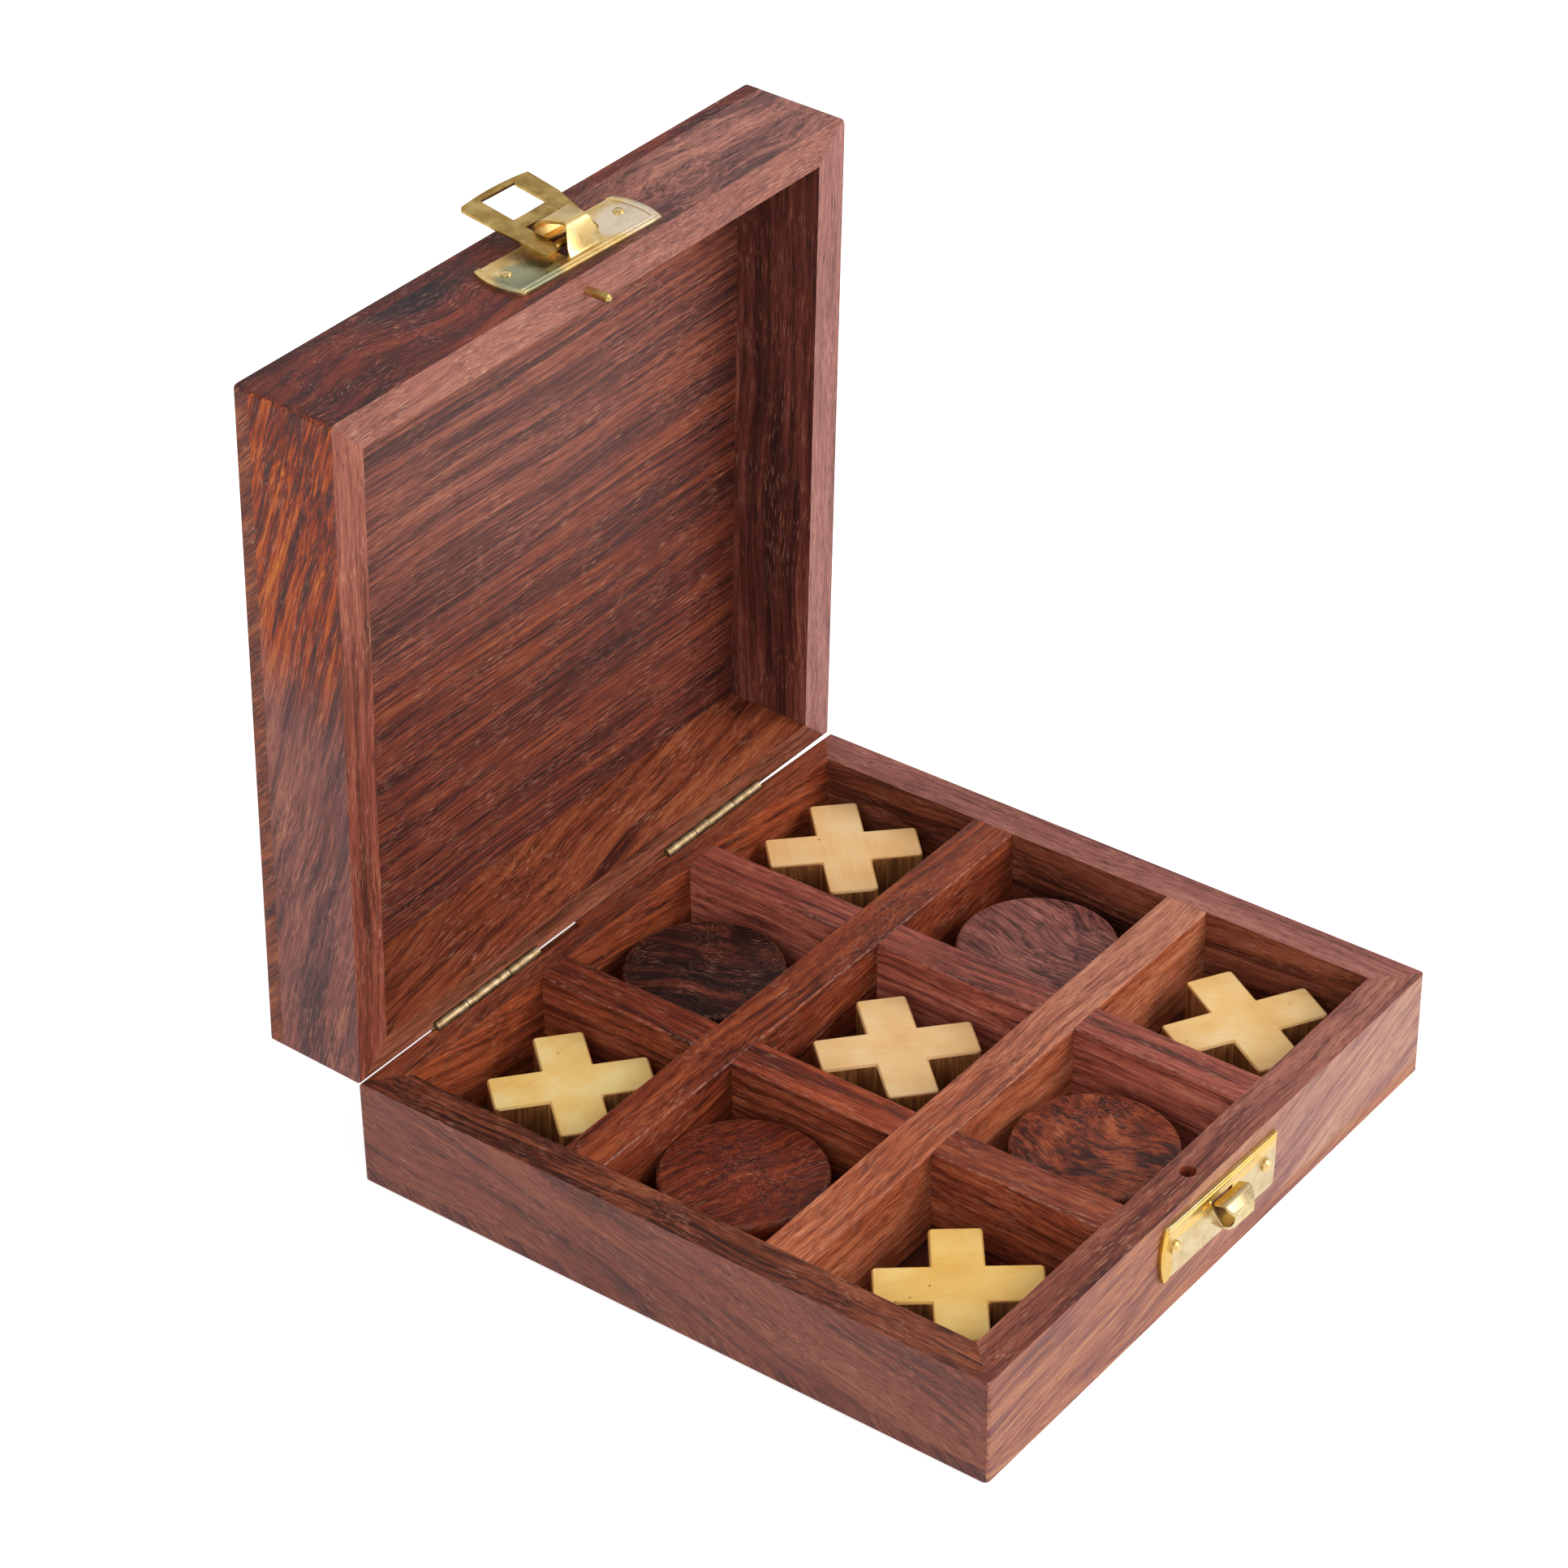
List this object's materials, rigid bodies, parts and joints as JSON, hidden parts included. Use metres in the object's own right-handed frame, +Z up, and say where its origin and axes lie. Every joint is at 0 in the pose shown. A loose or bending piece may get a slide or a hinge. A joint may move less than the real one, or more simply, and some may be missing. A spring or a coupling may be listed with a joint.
{
  "type": "tic-tac-toe board",
  "caption": "Hinged hardwood tic-tac-toe box with divider cells, lift-out crosses and noughts, slot hinges, a locating pin and a swinging brass hasp latch.",
  "frame": {"origin": "middle of the underside of the base", "axes": "+Z up, -Y towards the latch side, +Y towards the hinges, +X to the right seen from the latch side"},
  "size_m": [0.127, 0.1488, 0.1495],
  "materials": {
    "rosewood": "oiled open-grained rosewood, sanded matt",
    "pale_wood": "pale yellow close-grained wood, sawn and sanded",
    "dark_wood": "dark rosewood end grain, sanded",
    "brass": "pressed brass sheet, polished, lightly tarnished",
    "antique_brass": "dull plated brass"
  },
  "bodies": {
    "base": {"base_front_wall": "rosewood", "base_back_wall": "rosewood", "base_left_wall": "rosewood", "base_right_wall": "rosewood", "base_bottom_panel": "rosewood", "divider_across_front": "rosewood", "divider_across_back": "rosewood", "divider_along_left": "rosewood", "divider_along_right": "rosewood", "hinge_left_base_leaf": "antique_brass", "hinge_right_base_leaf": "antique_brass", "hinge_left_pin": "antique_brass", "hinge_right_pin": "antique_brass", "hinge_base_nails": "antique_brass", "catch_plate": "brass", "catch_nails": "brass"},
    "lid": {"lid_front_wall": "rosewood", "lid_back_wall": "rosewood", "lid_left_wall": "rosewood", "lid_right_wall": "rosewood", "lid_top_panel": "rosewood", "hinge_left_lid_leaf": "antique_brass", "hinge_right_lid_leaf": "antique_brass", "hinge_lid_nails": "antique_brass", "hasp_plate": "brass", "hasp_nails": "brass", "locating_pin": "brass"},
    "hasp_loop": {"hasp_loop": "brass"},
    "cross_front_left": {"cross_front_left": "pale_wood"},
    "cross_front_right": {"cross_front_right": "pale_wood"},
    "cross_middle": {"cross_middle": "pale_wood"},
    "cross_back_left": {"cross_back_left": "pale_wood"},
    "cross_back_right": {"cross_back_right": "pale_wood"},
    "nought_front": {"nought_front": "dark_wood"},
    "nought_left": {"nought_left": "dark_wood"},
    "nought_right": {"nought_right": "dark_wood"},
    "nought_back": {"nought_back": "dark_wood"}
  },
  "joints": [
    {"name": "lid_hinge", "type": "hinge", "parent": "base", "child": "lid", "pos_m": [0, 0.06135, 0.02045], "axis": [1, 0, 0], "range_deg": [0, 87.75]},
    {"name": "hasp_pivot", "type": "hinge", "parent": "lid", "child": "hasp_loop", "pos_m": [0.00075, 0.06297, 0.14611], "axis": [0.9994, -0.0349, -0.0014], "range_deg": [0, 173]},
    {"name": "cross_front_left_lift", "type": "slide", "parent": "base", "child": "cross_front_left", "axis": [0, 0, -1], "range_m": [-0.026, 0]},
    {"name": "cross_front_right_lift", "type": "slide", "parent": "base", "child": "cross_front_right", "axis": [0, 0, -1], "range_m": [-0.026, 0]},
    {"name": "cross_middle_lift", "type": "slide", "parent": "base", "child": "cross_middle", "axis": [0, 0, -1], "range_m": [-0.026, 0]},
    {"name": "cross_back_left_lift", "type": "slide", "parent": "base", "child": "cross_back_left", "axis": [0, 0, -1], "range_m": [-0.026, 0]},
    {"name": "cross_back_right_lift", "type": "slide", "parent": "base", "child": "cross_back_right", "axis": [0, 0, -1], "range_m": [-0.026, 0]},
    {"name": "nought_front_lift", "type": "slide", "parent": "base", "child": "nought_front", "axis": [0, 0, -1], "range_m": [-0.026, 0]},
    {"name": "nought_left_lift", "type": "slide", "parent": "base", "child": "nought_left", "axis": [0, 0, -1], "range_m": [-0.026, 0]},
    {"name": "nought_right_lift", "type": "slide", "parent": "base", "child": "nought_right", "axis": [0, 0, -1], "range_m": [-0.026, 0]},
    {"name": "nought_back_lift", "type": "slide", "parent": "base", "child": "nought_back", "axis": [0, 0, -1], "range_m": [-0.026, 0]}
  ]
}
